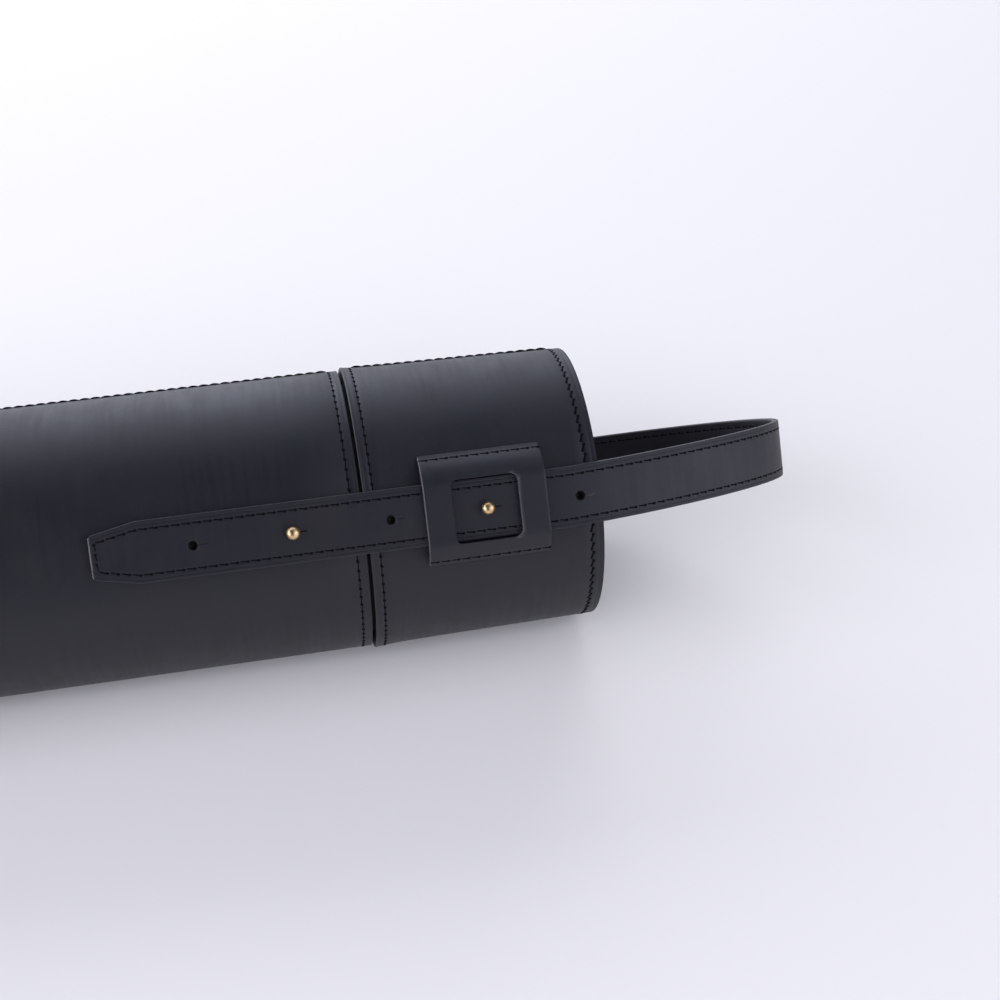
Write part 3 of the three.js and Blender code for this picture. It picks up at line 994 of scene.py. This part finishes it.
def make_studs():
    places = {"body": ("tube", STUD_PLACES[0], RADIUS, NECK_INNER),
              "cap": ("cap", STUD_PLACES[1], cap_radius(CAP_STUD_X) - 0.15, LINER_INNER)}
    for label, side in SIDES.items():
        for where, (body, x, surface, inner) in places.items():
            node = f"{label}_{where}_stud"
            profile = ball_profile(surface, inner + 0.3)
            ride(revolved(f"{label}_{where}_ball_stud", x, profile, side, "brass"), body, node)
            top = inner - 0.4
            ring = [(1.4, top - 0.8), (4.2, top - 0.8), (4.5, top - 0.6), (4.5, top - 0.2), (4.3, top),
                    (1.4, top), (1.4, top - 0.8)]
            ride(revolved(f"{label}_{where}_washer", x, ring, side, "brass"), body, f"{node}_washer")
            head = top - 0.8 - 0.3
            screw = [(0.0, head - 1.5), (0.7, head - 1.48), (1.6, head - 1.38), (2.6, head - 1.05),
                     (3.1, head - 0.6), (3.2, head), (1.0, head), (1.0, surface - 2.2),
                     (0.0, surface - 2)]
            ride(revolved(f"{label}_{where}_screw", x, screw, side, "brass"), body, f"{node}_screw")


# Studio
CAMERA_ELEVATION = math.radians(41.22)
CAMERA_YAW = math.radians(11.06)
CAMERA_LENS = 56.9
JOINT_IN_VIEW = (-0.06435, 0.00357, 0.7013)


def make_camera():
    """The joint's centre sits at JOINT_IN_VIEW, metres right of, below and ahead of the camera."""
    sin_e, cos_e = math.sin(CAMERA_ELEVATION), math.cos(CAMERA_ELEVATION)
    sin_y, cos_y = math.sin(CAMERA_YAW), math.cos(CAMERA_YAW)
    right = Vector((cos_y, -sin_y, 0))
    up = Vector((sin_y * sin_e, cos_y * sin_e, cos_e))
    forward = Vector((sin_y * cos_e, cos_y * cos_e, -sin_e))
    data = bpy.data.cameras.new("camera")
    data.sensor_width = 36
    data.lens = CAMERA_LENS
    camera = bpy.data.objects.new("camera", data)
    bpy.context.scene.collection.objects.link(camera)
    x, y, z = JOINT_IN_VIEW
    rotation = Matrix((right, up, -forward)).transposed()
    camera.location = Vector((JOINT_X, 0, AXIS_Z)) - right * x + up * y - forward * z
    camera.rotation_euler = rotation.to_euler()
    bpy.context.scene.camera = camera


def area_light(name, place_at, aim, size, power, colour):
    data = bpy.data.lights.new(name, "AREA")
    data.shape = "RECTANGLE"
    data.size, data.size_y = size
    data.energy = power
    data.color = colour
    light = bpy.data.objects.new(name, data)
    bpy.context.scene.collection.objects.link(light)
    light.location = place_at
    light.rotation_euler = (Vector(aim) - Vector(place_at)).to_track_quat("-Z", "Y").to_euler()
    return light


# How bright the daylight round the scene is, and the room that reflections see: its walls, then the rest.
SURROUND = 0.2
ROOM = 0.015
BACK_WALL = 3.1
FRONT_WALL = 1.25
LEFT_WALL = 3.8
RIGHT_WALL = 1.1
TOP_RIGHT = 0.35


def make_world():
    """Soft even daylight for the surfaces, a plain pale backdrop, and a dim room for the reflections.

    The room has a bright band at the back, at the left, low in front, at the right and high at the right.
    """
    world = bpy.data.worlds.new("studio")
    bpy.context.scene.world = world
    world.use_nodes = True
    nodes, links = world.node_tree.nodes, world.node_tree.links
    direction = nodes.new("ShaderNodeTexCoord")
    split = nodes.new("ShaderNodeSeparateXYZ")
    links.new(direction.outputs["Generated"], split.inputs["Vector"])
    rays = nodes.new("ShaderNodeLightPath")

    def band(axis, start, end):
        ramp = nodes.new("ShaderNodeMapRange")
        ramp.interpolation_type = "SMOOTHSTEP"
        ramp.inputs["From Min"].default_value = start
        ramp.inputs["From Max"].default_value = end
        links.new(split.outputs[axis], ramp.inputs["Value"])
        return ramp.outputs["Result"]

    def combine(operation, a, b):
        node = nodes.new("ShaderNodeMath")
        node.operation = operation
        for socket, value in zip(node.inputs, (a, b)):
            if isinstance(value, float):
                socket.default_value = value
            else:
                links.new(value, socket)
        return node.outputs["Value"]

    def product(result, *factors):
        for factor in factors:
            result = combine("MULTIPLY", result, factor)
        return result

    def surround(colour, strength):
        background = nodes.new("ShaderNodeBackground")
        background.inputs["Color"].default_value = (*colour, 1)
        if isinstance(strength, float):
            background.inputs["Strength"].default_value = strength
        else:
            links.new(strength, background.inputs["Strength"])
        return background.outputs["Background"]

    def choose(ray, other, chosen):
        mix = nodes.new("ShaderNodeMixShader")
        links.new(rays.outputs[ray], mix.inputs["Fac"])
        links.new(other, mix.inputs[1])
        links.new(chosen, mix.inputs[2])
        return mix.outputs["Shader"]

    back = product(band("Y", 0.1, 1.0), band("X", 0.95, -0.35), BACK_WALL)
    front = product(band("Y", 0.1, -0.3), band("Z", 0.85, 0.5), band("X", 0.08, 0.34), FRONT_WALL)
    left = product(band("X", -0.55, -0.9), band("Z", 0.8, 0.3), LEFT_WALL)
    right = product(band("X", 0.3, 0.9), band("Y", 0.3, -0.2), RIGHT_WALL)
    top = product(band("Z", 0.3, 0.8), band("X", 0.05, 0.3), TOP_RIGHT)
    total = ROOM
    for part in (back, front, left, right, top):
        total = combine("ADD", part, total)
    room = surround((0.82, 0.85, 1.0), total)
    daylight = surround((0.96, 0.98, 1.0), SURROUND)
    plain = surround((0.86, 0.87, 0.90), 1.0)
    shader = choose("Is Camera Ray", choose("Is Diffuse Ray", room, daylight), plain)
    links.new(shader, nodes["World Output"].inputs["Surface"])


def make_floor():
    """A plain pale sheet, half a millimetre below the part."""
    material, _, _, shader = new_material("paper_sweep")
    shader.inputs["Base Color"].default_value = (0.815, 0.81, 0.845, 1)
    shader.inputs["Roughness"].default_value = 0.8
    shader.inputs["Specular IOR Level"].default_value = 0.1
    bpy.ops.mesh.primitive_plane_add(size=8, location=(JOINT_X, 0, -0.0005))
    floor = bpy.context.object
    floor.name = "floor"
    floor.data.materials.append(material)


LIGHTS = [
    # name, place from the joint, size, power, colour
    ("front", (-0.3, -1.5, 1.35), (1.8, 1.2), 18.0, (0.96, 0.95, 1.0)),
    ("back", (-0.1, 1.4, 1.0), (2.6, 1.0), 19.5, (1.0, 1.0, 1.0)),
    ("right", (1.4, -0.6, 1.3), (1.6, 1.2), 6.5, (0.96, 0.95, 1.0)),
    ("left", (-1.6, -0.6, 1.3), (1.6, 1.2), 17.5, (0.96, 0.95, 1.0)),
]


def make_lights():
    """Four broad panels light everything evenly; reflections see the walls of the room instead."""
    for name, offset, size, power, colour in LIGHTS:
        place_at = Vector((JOINT_X, 0, 0)) + Vector(offset)
        panel = area_light(name, place_at, (JOINT_X, 0, AXIS_Z), size, power, colour)
        panel.visible_glossy = False
    view = bpy.context.scene.view_settings
    view.view_transform = "Standard"
    view.look = "None"


make_camera()
make_world()
make_floor()
make_lights()
make_shells()
make_insides()
make_tube_stitches()
make_strap()
make_keepers()
make_studs()
